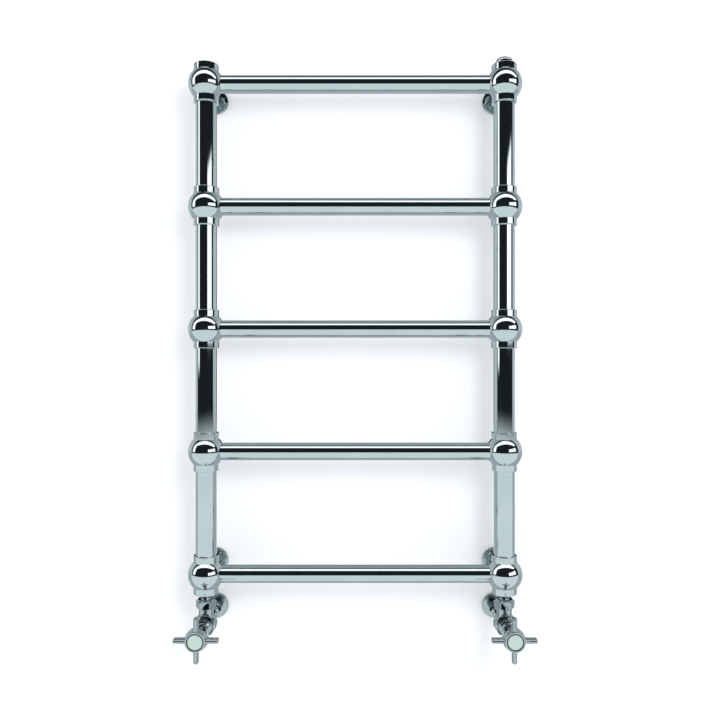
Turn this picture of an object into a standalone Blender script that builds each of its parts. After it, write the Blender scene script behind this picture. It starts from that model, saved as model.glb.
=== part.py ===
"""Wall-hung towel radiator: five rails between two ball-jointed columns, and two cross-head valves.

The origin is on the wall, midway between the columns, at the height of the top rail.
+X is the viewer's right, +Z is up and the front looks along -Y. Lengths are in metres.
"""

import math

import bmesh
import bpy
from mathutils import Matrix, Vector

# Layout
RAIL_COUNT = 5
RAIL_PITCH = 0.223
COLUMN_X = 0.2715
WALL_DISTANCE = 0.088
VALVE_DROP = 0.0883
GAP = 0.0003

# Ball joints, and the collars above and below each ball
BALL_R = 0.0323
COLLAR_R = 0.0227
COLLAR_END = 0.035
COLLAR_CHAMFER = 0.0012

# Tubes
COLUMN_R = 0.019
COLUMN_BORE_R = 0.0175
COLUMN_END = 0.014
RAIL_R = 0.0159
RAIL_BORE_R = 0.0147
RAIL_END = 0.021

# Wall stays and roses
STAY_FACE = 0.0294
STAY_SEAT_R = 0.0135
STAY_HOLE_R = 0.0083
STAY_HOLE_FLOOR = 0.0225
STAY_FOOT_R = 0.0131
STAY_NECK_R = 0.0082
STAY_SPIGOT_R = 0.0065
ROSE_R = 0.0243
ROSE_FLOOR = 0.0012
PIPE_ROSE_R = 0.0245
ROSE_HEIGHT = 0.0043
ROSE_RIM = 0.0012
ROSE_EDGE = 0.0022

# Top cap and air vent, above the ball's centre
CAP_SEAT = 0.021
CAP_TOP = 0.0362
VENT_TOP = 0.0475
VENT_R = 0.0160
VENT_TOP_R = 0.0095
VENT_SHOULDER_R = 0.0068
BLEED_R = 0.0032
BLEED_MOUTH_R = 0.0044
BLEED_FLOOR = 0.0385

# Union between the bottom ball and the valve, below the ball's centre
BUSH_TOP = 0.0235
BUSH_END = 0.042
BUSH_END_R = 0.0098
TAIL_TOP = 0.026
TAIL_R = 0.008
TAIL_BORE_R = 0.0060
TAIL_LOW_R = 0.0092
TAIL_FLANGE_R = 0.0112
TAIL_FLANGE_DROP = 0.0062
TAIL_FLANGE_END = 0.0092
NUT_TOP = 0.0447
NUT_END = 0.0613
NUT_FLATS = 0.0330
NUT_FACE_R = 0.0148

# Valve, in front of the column's plane (behind it where negative)
BULB_R = 0.0200
BODY_FRONT = 0.0200
BODY_BACK = -0.0560
CHAMBER_R = 0.0120
SEAT_H = -0.0120
OUTLET_R = 0.0136
OUTLET_THREAD_R = 0.0115
WATERWAY_R = 0.0065
BONNET_END = 0.0410
SPINDLE_R = 0.0050
SPINDLE_THREAD_R = 0.0034
PLUG_R = 0.0090
PIPE_R = 0.0075
PIPE_BORE_R = 0.0065
PIPE_FRONT = -0.0445
PIPE_NUT_FRONT = -0.0470
PIPE_NUT_BACK = -0.0640
PIPE_NUT_FLATS = 0.0270
PIPE_NUT_FACE_R = 0.0123

# Cross handle
HANDLE_BACK = 0.0440
HANDLE_FACE = 0.0911
HANDLE_FACE_R = 0.0174
HANDLE_REACH = 0.0388
SKIRT_R = 0.0112
SKIRT_FLOOR = 0.0590
SQUARE = 0.0072
ARM_H = 0.0816
ARM_WIDTH = 0.0090
ARM_DEPTH = 0.0165
DISC_R = 0.01275
DISC_RECESS_R = 0.01455
DISC_FLOOR = 0.0879
SCREW_HEAD_R = 0.0042
SCREW_SEAT = 0.0790
SCREW_WELL_R = 0.0048

# Facets on a full turn
BALL_FACETS = 20
TUBE_FACETS = 16
SMALL_FACETS = 12
BALL_ARC_STEPS = 6
SHARP_ANGLE = math.radians(35)

# Materials: colour, roughness, metallic
FINISHES = {
    "chrome_plate": ((0.62, 0.69, 0.71), 0.06, 1.0),
    "bare_brass": ((0.71, 0.56, 0.29), 0.32, 1.0),
    "zinc_steel": ((0.55, 0.56, 0.57), 0.35, 1.0),
    "glazed_disc": ((0.66, 0.76, 0.68), 0.15, 0.0),
}

TO_FRONT = Matrix.Rotation(math.radians(90), 4, "X")
TO_WALL = Matrix.Rotation(math.radians(-90), 4, "X")
ALONG_X = Matrix.Rotation(math.radians(90), 4, "Y")
UPRIGHT = Matrix.Identity(4)


def clear_scene():
    for obj in list(bpy.data.objects):
        bpy.data.objects.remove(obj, do_unlink=True)


def finish_material(name):
    """The named finish as one Principled BSDF material, made once."""
    material = bpy.data.materials.get(name)
    if material:
        return material
    colour, roughness, metallic = FINISHES[name]
    material = bpy.data.materials.new(name)
    material.use_nodes = True
    shader = material.node_tree.nodes["Principled BSDF"]
    shader.inputs["Base Color"].default_value = (*colour, 1.0)
    shader.inputs["Roughness"].default_value = roughness
    shader.inputs["Metallic"].default_value = metallic
    return material


def mesh_from(bm, name):
    bmesh.ops.recalc_face_normals(bm, faces=bm.faces)
    mesh = bpy.data.meshes.new(name)
    bm.to_mesh(mesh)
    bm.free()
    return mesh


def lathe(profile, facets, name="turned"):
    """A closed mesh turned about Z from (radius, height) points; an end on the axis closes itself."""
    bm = bmesh.new()
    points = [bm.verts.new((radius, 0.0, height)) for radius, height in profile]
    edges = [bm.edges.new(pair) for pair in zip(points, points[1:])]
    on_axis = profile[0][0] == 0.0 and profile[-1][0] == 0.0
    if not on_axis:
        edges.append(bm.edges.new((points[-1], points[0])))
    bmesh.ops.spin(
        bm,
        geom=points + edges,
        cent=(0, 0, 0),
        axis=(0, 0, 1),
        angle=math.tau,
        steps=facets,
        use_merge=True,
    )
    bmesh.ops.remove_doubles(bm, verts=bm.verts, dist=1e-6)
    bmesh.ops.dissolve_degenerate(bm, edges=bm.edges, dist=1e-6)
    return mesh_from(bm, name)


def prism(across_flats, bottom, top, sides=6, name="prism"):
    """A regular prism about Z, with a flat towards +Y."""
    bm = bmesh.new()
    radius = across_flats / 2 / math.cos(math.pi / sides)
    ring = []
    for i in range(sides):
        turn = math.tau * (i + 0.5) / sides + math.radians(90)
        ring.append(bm.verts.new((radius * math.cos(turn), radius * math.sin(turn), bottom)))
    face = bm.faces.new(ring)
    grown = bmesh.ops.extrude_face_region(bm, geom=[face])
    lifted = [item for item in grown["geom"] if isinstance(item, bmesh.types.BMVert)]
    bmesh.ops.translate(bm, verts=lifted, vec=(0, 0, top - bottom))
    return mesh_from(bm, name)


def box(size, centre, name="box"):
    bm = bmesh.new()
    bmesh.ops.create_cube(bm, size=1.0)
    bmesh.ops.scale(bm, verts=bm.verts, vec=size)
    bmesh.ops.translate(bm, verts=bm.verts, vec=centre)
    return mesh_from(bm, name)


def combined(mesh, steps):
    """The mesh after each (operation, mesh, matrix) Boolean step, worked out by the EXACT solver."""
    target = bpy.data.objects.new("target", mesh)
    bpy.context.scene.collection.objects.link(target)
    helpers = []
    for operation, tool_mesh, matrix in steps:
        tool = bpy.data.objects.new("tool", tool_mesh)
        tool.matrix_world = matrix
        tool.hide_render = True
        tool.display_type = "WIRE"
        bpy.context.scene.collection.objects.link(tool)
        helpers.append(tool)
        modifier = target.modifiers.new(operation.lower(), "BOOLEAN")
        modifier.operation = operation
        modifier.solver = "EXACT"
        modifier.object = tool
    bpy.context.view_layer.update()
    graph = bpy.context.evaluated_depsgraph_get()
    result = bpy.data.meshes.new_from_object(target.evaluated_get(graph))
    result.name = mesh.name
    for helper in [target, *helpers]:
        bpy.data.objects.remove(helper, do_unlink=True)
    return result


def empty(name, location, turn=UPRIGHT):
    frame = bpy.data.objects.new(name, None)
    frame.matrix_world = Matrix.Translation(location) @ turn
    bpy.context.scene.collection.objects.link(frame)
    return frame


def node(name, mesh, finish, parent, location=(0.0, 0.0, 0.0), turn=UPRIGHT):
    """One named piece, smooth-shaded, placed in its parent's frame."""
    if not mesh.materials:
        mesh.materials.append(finish_material(finish))
    mesh.shade_smooth()
    mesh.set_sharp_from_angle(angle=SHARP_ANGLE)
    obj = bpy.data.objects.new(name, mesh)
    bpy.context.scene.collection.objects.link(obj)
    obj.parent = parent
    obj.matrix_local = Matrix.Translation(location) @ turn
    return obj


def arc(centre_r, centre_h, radius, start, end, steps):
    """Points of an arc in the (radius, height) plane, from one angle to another, in degrees."""
    points = []
    for i in range(steps + 1):
        turn = math.radians(start + (end - start) * i / steps)
        points.append((centre_r + radius * math.cos(turn), centre_h + radius * math.sin(turn)))
    return points


def cylinder(radius, bottom, top, facets=TUBE_FACETS):
    return lathe([(0.0, top), (radius, top), (radius, bottom), (0.0, bottom)], facets, "cylinder")


def ball_joint_mesh(side, with_stay):
    """A ball with a collar above and below, bored through, with a rail socket and a stay seat."""
    bore_r = COLUMN_R + GAP
    meet = math.degrees(math.acos(COLLAR_R / BALL_R))
    outside = [
        (COLLAR_R - COLLAR_CHAMFER, COLLAR_END),
        (COLLAR_R, COLLAR_END - COLLAR_CHAMFER),
        *arc(0.0, 0.0, BALL_R, meet, -meet, BALL_ARC_STEPS),
        (COLLAR_R, -COLLAR_END + COLLAR_CHAMFER),
        (COLLAR_R - COLLAR_CHAMFER, -COLLAR_END),
    ]
    bore = [(bore_r, -COLLAR_END), (bore_r, COLLAR_END)]
    mesh = lathe(outside + bore, BALL_FACETS, "ball_joint")
    inward = -side
    socket = cylinder(RAIL_R + GAP, 0.010, 0.040)
    steps = [("DIFFERENCE", socket, Matrix.Rotation(math.radians(90 * inward), 4, "Y"))]
    if with_stay:
        seat = lathe(
            [
                (0.0, 0.040),
                (STAY_SEAT_R, 0.040),
                (STAY_SEAT_R, STAY_FACE),
                (STAY_HOLE_R, STAY_FACE),
                (STAY_HOLE_R, STAY_HOLE_FLOOR),
                (0.0, STAY_HOLE_FLOOR),
            ],
            TUBE_FACETS,
        )
        steps.append(("DIFFERENCE", seat, TO_WALL))
    return combined(mesh, steps)


def tube_mesh(outer, inner, length, facets):
    """A plain tube along Z, centred on its middle."""
    half = length / 2
    return lathe([(inner, half), (outer, half), (outer, -half), (inner, -half)], facets, "tube")


def build_columns(joints):
    """Ball joints and the column tubes between them."""
    length = RAIL_PITCH - 2 * COLUMN_END
    for side, word in ((-1, "left"), (1, "right")):
        plain = ball_joint_mesh(side, False)
        with_stay = ball_joint_mesh(side, True)
        tube = tube_mesh(COLUMN_R, COLUMN_BORE_R, length, BALL_FACETS)
        for i in range(RAIL_COUNT):
            mesh = with_stay if i in (0, RAIL_COUNT - 1) else plain
            node(f"ball_joint_{word}_{i + 1}", mesh, "chrome_plate", joints[side, i])
            if i < RAIL_COUNT - 1:
                middle = (0.0, 0.0, -RAIL_PITCH / 2)
                node(f"column_tube_{word}_{i + 1}", tube, "chrome_plate", joints[side, i], middle)


def build_rails(radiator):
    length = 2 * (COLUMN_X - RAIL_END)
    mesh = tube_mesh(RAIL_R, RAIL_BORE_R, length, TUBE_FACETS)
    for i in range(RAIL_COUNT):
        place = (0.0, -WALL_DISTANCE, -i * RAIL_PITCH)
        node(f"rail_{i + 1}", mesh, "chrome_plate", radiator, place, ALONG_X)


def stay_mesh():
    """A trumpet-shaped stay along Z, from its spigot in the ball to its spigot in the rose."""
    shoulder = STAY_FACE + GAP
    rose_face = WALL_DISTANCE - ROSE_HEIGHT
    spigot_r = STAY_HOLE_R - GAP
    taper = []
    start, end = shoulder + 0.0015, rose_face - GAP
    taper_steps = 4
    for i in range(taper_steps + 1):
        along = i / taper_steps
        radius = STAY_NECK_R + (STAY_FOOT_R - STAY_NECK_R) * (1 - along) ** 2.2
        taper.append((radius, start + (end - start) * along))
    tip = WALL_DISTANCE - ROSE_FLOOR - GAP
    profile = [
        (0.0, STAY_HOLE_FLOOR + GAP),
        (spigot_r, STAY_HOLE_FLOOR + GAP),
        (spigot_r, shoulder),
        (STAY_FOOT_R, shoulder),
        *taper,
        (STAY_SPIGOT_R, end),
        (STAY_SPIGOT_R, tip),
        (0.0, tip),
    ]
    return lathe(profile, TUBE_FACETS, "wall_stay")


def rose_mesh(rim_r, hole_r, hole_floor):
    """A nearly flat wall rose about Z, its back at zero; a floor above zero makes its hole blind."""
    edge = arc(rim_r - ROSE_EDGE, ROSE_RIM, ROSE_EDGE, 0, 82, 3)
    crown_r = (rim_r + hole_r) / 2
    crown_h = ROSE_HEIGHT - (ROSE_HEIGHT - edge[-1][1]) * 0.3
    outside = [(rim_r, 0.0), *edge, (crown_r, crown_h), (hole_r, ROSE_HEIGHT)]
    if hole_floor > 0.0:
        closed = [(0.0, 0.0), *outside, (hole_r, hole_floor), (0.0, hole_floor)]
        return lathe(closed, TUBE_FACETS, "rose")
    return lathe([*outside, (hole_r, 0.0)], TUBE_FACETS, "rose")


def build_wall_stays(radiator, joints):
    stay = stay_mesh()
    rose = rose_mesh(ROSE_R, STAY_SPIGOT_R + GAP, ROSE_FLOOR)
    for side, word in ((-1, "left"), (1, "right")):
        for i, level in ((0, "upper"), (RAIL_COUNT - 1, "lower")):
            node(f"wall_stay_{level}_{word}", stay, "chrome_plate", joints[side, i], turn=TO_WALL)
            on_wall = (side * COLUMN_X, 0.0, -i * RAIL_PITCH)
            node(f"wall_rose_{level}_{word}", rose, "chrome_plate", radiator, on_wall, TO_FRONT)


def build_top_fittings(joints):
    """The blanking cap on the left column and the air vent with its bleed screw on the right."""
    cap = lathe(
        [
            (0.0, CAP_TOP),
            (0.0095, CAP_TOP - 0.0002),
            (0.0150, CAP_TOP - 0.0006),
            (COLUMN_R - 0.0008, COLLAR_END + 0.0001),
            (COLUMN_R, COLLAR_END - 0.0007),
            (COLUMN_R, CAP_SEAT),
            (0.0, CAP_SEAT),
        ],
        BALL_FACETS,
    )
    node("top_cap_left", cap, "chrome_plate", joints[-1, 0])

    shoulder = COLLAR_END + GAP
    dome = arc(VENT_R - VENT_SHOULDER_R, VENT_TOP - 0.0080, VENT_SHOULDER_R, 0, 62, 3)
    vent = lathe(
        [
            (BLEED_MOUTH_R, VENT_TOP),
            (VENT_TOP_R, VENT_TOP),
            *reversed(dome),
            (VENT_R, shoulder),
            (COLUMN_R, shoulder),
            (COLUMN_R, CAP_SEAT),
            (0.0050, CAP_SEAT),
            (0.0050, BLEED_FLOOR - 0.0040),
            (0.0012, BLEED_FLOOR - 0.0020),
            (0.0012, BLEED_FLOOR),
            (BLEED_R + GAP, BLEED_FLOOR),
            (BLEED_R + GAP, VENT_TOP - 0.0020),
            (BLEED_MOUTH_R, VENT_TOP - 0.0020),
        ],
        BALL_FACETS,
    )
    node("air_vent_body", vent, "chrome_plate", joints[1, 0])

    screw = lathe(
        [
            (0.0, VENT_TOP + 0.0006),
            (BLEED_R - 0.0004, VENT_TOP + 0.0006),
            (BLEED_R, VENT_TOP + 0.0002),
            (BLEED_R, BLEED_FLOOR + 0.0022),
            (0.0009, BLEED_FLOOR + GAP),
            (0.0, BLEED_FLOOR + GAP),
        ],
        SMALL_FACETS,
    )
    slot = box((0.010, 0.0011, 0.0040), (0.0, 0.0, VENT_TOP + 0.0006))
    screw = combined(screw, [("DIFFERENCE", slot, UPRIGHT)])
    node("bleed_screw", screw, "zinc_steel", joints[1, 0])


def chamfered_nut(flats, bottom, top, face_r, chamfer, bore_profile):
    """A hexagon nut about Z with both ends turned down to a cone, and a stepped bore cut out."""
    corner = flats / 2 / math.cos(math.pi / 6)
    turned = lathe(
        [
            (0.0, top),
            (face_r, top),
            (corner, top - chamfer),
            (corner, bottom + 0.0014),
            (flats / 2 - 0.0004, bottom),
            (0.0, bottom),
        ],
        TUBE_FACETS,
    )
    hexagon = prism(flats, bottom - 0.001, top + 0.001)
    bore = lathe(bore_profile, TUBE_FACETS)
    steps = [("INTERSECT", turned, UPRIGHT), ("DIFFERENCE", bore, UPRIGHT)]
    return combined(hexagon, steps)


def build_union(word, ball):
    """The reducing bush, the valve tail and the union nut, hanging below the bottom ball."""
    bush = lathe(
        [
            (COLUMN_R, -BUSH_TOP),
            (COLUMN_R, -COLLAR_END + 0.0002),
            (0.0141, -COLLAR_END - 0.0010),
            (BUSH_END_R, -BUSH_END),
            (TAIL_R + GAP, -BUSH_END),
            (TAIL_R + GAP, -BUSH_TOP),
        ],
        BALL_FACETS,
    )
    node(f"reducing_bush_{word}", bush, "chrome_plate", ball)

    flange_top = NUT_TOP + TAIL_FLANGE_DROP
    flange_end = NUT_TOP + TAIL_FLANGE_END
    tail = lathe(
        [
            (TAIL_BORE_R, -TAIL_TOP),
            (TAIL_R, -TAIL_TOP),
            (TAIL_R, -BUSH_END),
            (TAIL_LOW_R, -NUT_TOP),
            (TAIL_LOW_R, -flange_top),
            (TAIL_FLANGE_R, -flange_top),
            (TAIL_FLANGE_R, -flange_end),
            (TAIL_BORE_R, -flange_end),
        ],
        TUBE_FACETS,
    )
    node(f"valve_tail_{word}", tail, "chrome_plate", ball)

    thread_r = OUTLET_THREAD_R + GAP
    bore = [
        (0.0, -NUT_TOP + 0.002),
        (TAIL_LOW_R + GAP, -NUT_TOP + 0.002),
        (TAIL_LOW_R + GAP, -flange_top + GAP),
        (thread_r, -flange_top + GAP),
        (thread_r, -NUT_END - 0.002),
        (0.0, -NUT_END - 0.002),
    ]
    nut = chamfered_nut(NUT_FLATS, -NUT_END, -NUT_TOP, NUT_FACE_R, 0.0042, bore)
    node(f"union_nut_{word}", nut, "chrome_plate", ball)


def valve_body_mesh():
    """The angle body: inlet at the back (-Z here), chamber open to the front, outlet towards +Y."""
    bulb = arc(0.0060, 0.0, 0.0140, -62, 50, 4)
    run = lathe(
        [
            (0.0, BODY_FRONT),
            (BULB_R - 0.0006, BODY_FRONT),
            (BULB_R - 0.0006, BODY_FRONT - 0.0036),
            (0.0170, BODY_FRONT - 0.0060),
            *reversed(bulb),
            (0.0116, -0.0160),
            (0.0112, -0.0420),
            (0.0134, -0.0440),
            (0.0134, -0.0465),
            (0.0119, -0.0470),
            (0.0119, BODY_BACK),
            (0.0, BODY_BACK),
        ],
        TUBE_FACETS,
    )
    nut_end = VALVE_DROP - NUT_END
    outlet_end = VALVE_DROP - NUT_TOP - 0.0095
    branch = lathe(
        [
            (0.0, outlet_end),
            (OUTLET_THREAD_R, outlet_end),
            (OUTLET_THREAD_R, nut_end - GAP),
            (OUTLET_R, nut_end - GAP),
            (OUTLET_R, 0.0),
            (0.0, 0.0),
        ],
        TUBE_FACETS,
    )
    chamber = lathe(
        [
            (0.0, BODY_FRONT + 0.002),
            (CHAMBER_R, BODY_FRONT + 0.002),
            (CHAMBER_R, SEAT_H),
            (WATERWAY_R, SEAT_H),
            (WATERWAY_R, -0.0440),
            (PIPE_R + GAP, -0.0440),
            (PIPE_R + GAP, BODY_BACK - 0.002),
            (0.0, BODY_BACK - 0.002),
        ],
        TUBE_FACETS,
    )
    waterway = cylinder(WATERWAY_R, 0.0, outlet_end + 0.002)
    to_outlet = TO_WALL
    steps = [
        ("UNION", branch, to_outlet),
        ("DIFFERENCE", chamber, UPRIGHT),
        ("DIFFERENCE", waterway, to_outlet),
    ]
    return combined(run, steps)


def bonnet_mesh():
    """The headwork: a stepped collar, a neck under the handle's skirt and a sleeve in the body."""
    male_r = CHAMBER_R - GAP
    return lathe(
        [
            (SPINDLE_R + 0.0004, BONNET_END),
            (0.0098, BONNET_END),
            (0.0098, 0.0300),
            (0.0126, 0.0285),
            (0.0126, 0.0260),
            (0.0144, 0.0256),
            (0.0144, BODY_FRONT + GAP),
            (male_r, BODY_FRONT + GAP),
            (male_r, 0.0090),
            (PLUG_R + 0.0006, 0.0090),
            (PLUG_R + 0.0006, 0.0160),
            (SPINDLE_R + 0.0004, 0.0160),
        ],
        TUBE_FACETS,
        "bonnet",
    )


def spindle_mesh():
    """A threaded nose inside the plug, a plain shaft through the bonnet and a square under the handle."""
    shaft = lathe(
        [
            (0.0, 0.0740),
            (SPINDLE_R, 0.0740),
            (SPINDLE_R, 0.0150),
            (SPINDLE_THREAD_R, 0.0150),
            (SPINDLE_THREAD_R, 0.0025),
            (0.0, 0.0025),
        ],
        SMALL_FACETS,
    )
    drive = box((SQUARE, SQUARE, 0.0320), (0.0, 0.0, SKIRT_FLOOR + 0.0140))
    plain = cylinder(SPINDLE_R + 0.002, 0.0, SKIRT_FLOOR - 0.0010)
    tapping = cylinder(0.0023, 0.0600, 0.0760, SMALL_FACETS)
    keep = combined(plain, [("UNION", drive, UPRIGHT)])
    return combined(shaft, [("INTERSECT", keep, UPRIGHT), ("DIFFERENCE", tapping, UPRIGHT)])


def plug_mesh():
    """The jumper: a disc that meets the seat, and a stem threaded on the spindle."""
    foot = SEAT_H + GAP
    return lathe(
        [
            (SPINDLE_THREAD_R + GAP, 0.0060),
            (0.0068, 0.0060),
            (0.0068, foot + 0.0060),
            (PLUG_R, foot + 0.0060),
            (PLUG_R, foot + 0.0010),
            (PLUG_R - 0.0010, foot),
            (0.0, foot),
            (0.0, foot + 0.0070),
            (SPINDLE_THREAD_R + GAP, foot + 0.0070),
        ],
        SMALL_FACETS,
        "plug",
    )


def arm_mesh():
    """One handle arm along +X: an oval bar whose flat tip has rounded edges."""
    around = 12
    stations = [(0.0080, 0.92), (HANDLE_REACH - 0.0025, 1.0), (HANDLE_REACH, 0.75)]
    bm = bmesh.new()
    rings = []
    for reach, share in stations:
        ring = []
        for i in range(around):
            turn = math.tau * i / around
            across = ARM_WIDTH / 2 * share * math.cos(turn)
            deep = ARM_DEPTH / 2 * share * math.sin(turn)
            ring.append(bm.verts.new((reach, across, ARM_H + deep)))
        rings.append(ring)
    for near, far in zip(rings, rings[1:]):
        for i in range(around):
            j = (i + 1) % around
            bm.faces.new((near[i], near[j], far[j], far[i]))
    bm.faces.new(rings[0])
    bm.faces.new(rings[-1])
    return mesh_from(bm, "arm")


def handle_mesh():
    """The cross handle: a bell-shaped hub with four arms, hollow at the back, square-holed."""
    hub = lathe(
        [
            (0.0, HANDLE_FACE),
            (HANDLE_FACE_R, HANDLE_FACE),
            (0.0190, 0.0845),
            (0.0199, 0.0765),
            (0.0185, 0.0675),
            (0.0150, 0.0565),
            (0.0133, 0.0470),
            (0.0138, HANDLE_BACK),
            (0.0, HANDLE_BACK),
        ],
        TUBE_FACETS,
    )
    quarter = math.radians(90)
    arms = [("UNION", arm_mesh(), Matrix.Rotation(i * quarter, 4, "Z")) for i in range(4)]
    skirt = cylinder(SKIRT_R, HANDLE_BACK - 0.002, SKIRT_FLOOR)
    socket_side = SQUARE + 2 * GAP
    socket = box((socket_side, socket_side, 0.0190), (0.0, 0.0, SKIRT_FLOOR + 0.0065))
    front = lathe(
        [
            (0.0, HANDLE_FACE + 0.002),
            (DISC_RECESS_R, HANDLE_FACE + 0.002),
            (DISC_RECESS_R, DISC_FLOOR),
            (SCREW_WELL_R, DISC_FLOOR),
            (SCREW_WELL_R, SCREW_SEAT),
            (0.0027, SCREW_SEAT),
            (0.0027, 0.0700),
            (0.0, 0.0700),
        ],
        TUBE_FACETS,
    )
    cuts = [("DIFFERENCE", tool, UPRIGHT) for tool in (skirt, socket, front)]
    return combined(hub, arms + cuts)


def handle_screw_mesh():
    return lathe(
        [
            (0.0, 0.0830),
            (SCREW_HEAD_R - 0.0010, 0.0830),
            (SCREW_HEAD_R, 0.0815),
            (SCREW_HEAD_R, SCREW_SEAT + GAP),
            (0.0020, SCREW_SEAT + GAP),
            (0.0020, 0.0640),
            (0.0, 0.0640),
        ],
        SMALL_FACETS,
        "handle_screw",
    )


def handle_disc_mesh():
    back = DISC_FLOOR + GAP
    return lathe(
        [
            (0.0, HANDLE_FACE),
            (DISC_R - 0.0005, HANDLE_FACE - 0.0002),
            (DISC_R, HANDLE_FACE - 0.0008),
            (DISC_R, back + 0.0010),
            (DISC_RECESS_R - GAP, back + 0.0008),
            (DISC_RECESS_R - GAP, back),
            (0.0, back),
        ],
        TUBE_FACETS,
        "handle_disc",
    )


def pipe_nut_mesh():
    flare = PIPE_NUT_BACK + 0.0060
    bore = [
        (0.0, PIPE_NUT_FRONT + 0.002),
        (0.0122, PIPE_NUT_FRONT + 0.002),
        (0.0122, flare),
        (PIPE_R + GAP, flare),
        (PIPE_R + GAP, PIPE_NUT_BACK - 0.002),
        (0.0, PIPE_NUT_BACK - 0.002),
    ]
    front = PIPE_NUT_FRONT - GAP
    return chamfered_nut(PIPE_NUT_FLATS, PIPE_NUT_BACK, front, PIPE_NUT_FACE_R, 0.0016, bore)


def build_valves(radiator, joints):
    body = valve_body_mesh()
    bonnet = bonnet_mesh()
    spindle = spindle_mesh()
    plug = plug_mesh()
    handle = handle_mesh()
    screw = handle_screw_mesh()
    disc = handle_disc_mesh()
    pipe_nut = pipe_nut_mesh()
    wall = -WALL_DISTANCE
    pipe_length = PIPE_FRONT - wall
    pipe = tube_mesh(PIPE_R, PIPE_BORE_R, pipe_length, SMALL_FACETS)
    rose = rose_mesh(PIPE_ROSE_R, PIPE_R + GAP, 0.0)
    valve_z = -(RAIL_COUNT - 1) * RAIL_PITCH - VALVE_DROP
    for side, word in ((-1, "left"), (1, "right")):
        centre = Vector((side * COLUMN_X, -WALL_DISTANCE, valve_z))
        valve = empty(f"valve_{word}", centre, TO_FRONT)
        valve.parent = radiator
        handle_axis = empty(f"handle_axis_{word}", Vector(), UPRIGHT)
        handle_axis.parent = valve
        build_union(word, joints[side, RAIL_COUNT - 1])
        node(f"valve_body_{word}", body, "chrome_plate", valve)
        node(f"bonnet_{word}", bonnet, "chrome_plate", valve)
        node(f"plug_{word}", plug, "bare_brass", valve)
        node(f"spindle_{word}", spindle, "bare_brass", handle_axis)
        node(f"handle_cross_{word}", handle, "chrome_plate", handle_axis)
        node(f"handle_screw_{word}", screw, "zinc_steel", handle_axis)
        node(f"handle_disc_{word}", disc, "glazed_disc", handle_axis)
        node(f"pipe_nut_{word}", pipe_nut, "chrome_plate", valve)
        middle = (0.0, 0.0, wall + pipe_length / 2)
        node(f"inlet_pipe_{word}", pipe, "chrome_plate", valve, middle)
        node(f"pipe_rose_{word}", rose, "chrome_plate", valve, (0.0, 0.0, wall))


def main():
    clear_scene()
    radiator = empty("radiator", Vector())
    joints = {}
    for side in (-1, 1):
        for i in range(RAIL_COUNT):
            place = Vector((side * COLUMN_X, -WALL_DISTANCE, -i * RAIL_PITCH))
            joints[side, i] = empty(f"joint_frame_{'left' if side < 0 else 'right'}_{i + 1}", place)
            joints[side, i].parent = radiator
    build_columns(joints)
    build_rails(radiator)
    build_wall_stays(radiator, joints)
    build_top_fittings(joints)
    build_valves(radiator, joints)


main()
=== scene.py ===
"""The looks of the towel radiator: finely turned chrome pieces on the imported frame, in a plain studio.

Lengths are in metres. +X is the viewer's right, +Z is up and the front looks along -Y.
Pieces above and below a ball are turned about Z. A valve's pieces are turned about their own
Z, which TO_FRONT lays along -Y, so that heights count forwards from the column's axis.
"""

import math

import bmesh
import bpy
from mathutils import Matrix, Vector


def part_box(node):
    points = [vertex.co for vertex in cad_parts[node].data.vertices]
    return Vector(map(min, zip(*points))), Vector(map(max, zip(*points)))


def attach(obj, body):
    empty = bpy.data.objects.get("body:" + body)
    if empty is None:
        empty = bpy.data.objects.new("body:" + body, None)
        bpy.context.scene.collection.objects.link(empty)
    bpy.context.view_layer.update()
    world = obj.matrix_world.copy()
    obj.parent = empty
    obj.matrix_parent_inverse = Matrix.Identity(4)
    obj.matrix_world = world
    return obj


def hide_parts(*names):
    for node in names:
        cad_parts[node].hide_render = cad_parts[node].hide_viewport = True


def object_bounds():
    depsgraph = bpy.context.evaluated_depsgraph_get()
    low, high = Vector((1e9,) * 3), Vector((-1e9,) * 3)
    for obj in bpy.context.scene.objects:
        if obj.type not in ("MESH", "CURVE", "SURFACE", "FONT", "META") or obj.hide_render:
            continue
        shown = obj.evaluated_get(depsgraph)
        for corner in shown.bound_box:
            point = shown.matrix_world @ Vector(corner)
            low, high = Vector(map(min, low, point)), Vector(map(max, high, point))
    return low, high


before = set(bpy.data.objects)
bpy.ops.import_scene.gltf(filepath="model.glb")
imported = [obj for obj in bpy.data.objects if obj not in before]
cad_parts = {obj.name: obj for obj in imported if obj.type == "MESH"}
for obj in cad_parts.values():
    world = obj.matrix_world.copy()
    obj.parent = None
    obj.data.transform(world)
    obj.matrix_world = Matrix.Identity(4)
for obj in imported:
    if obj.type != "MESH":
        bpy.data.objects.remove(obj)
cad_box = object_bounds()

SIDES = ((-1, "left"), (1, "right"))
RAILS = 5

# The gap that the CAD leaves between pieces
GAP = 0.0003

# Ball joints, columns and rails
BALL_R = 0.0323
COLLAR_R = 0.0227
COLLAR_END = 0.0350
COLUMN_R = 0.0190
COLUMN_BORE_R = 0.0175
RAIL_R = 0.0159
RAIL_BORE_R = 0.0147
SOCKET_FLOOR = 0.0100
PAST_BALL = 0.0400

# Wall stays and roses
STAY_FACE = 0.0294
STAY_SEAT_R = 0.0135
STAY_HOLE_R = 0.0083
STAY_HOLE_FLOOR = 0.0225
STAY_FOOT_R = 0.0131
STAY_NECK_R = 0.0082
STAY_SPIGOT_R = 0.0065
STAY_FOOT_LENGTH = 0.0015
STAY_FLARE = 2.2
ROSE_R = 0.0243
ROSE_FLOOR = 0.0012
PIPE_ROSE_R = 0.0245
ROSE_HEIGHT = 0.0043
ROSE_RIM = 0.0012
ROSE_EDGE = 0.0022

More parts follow.
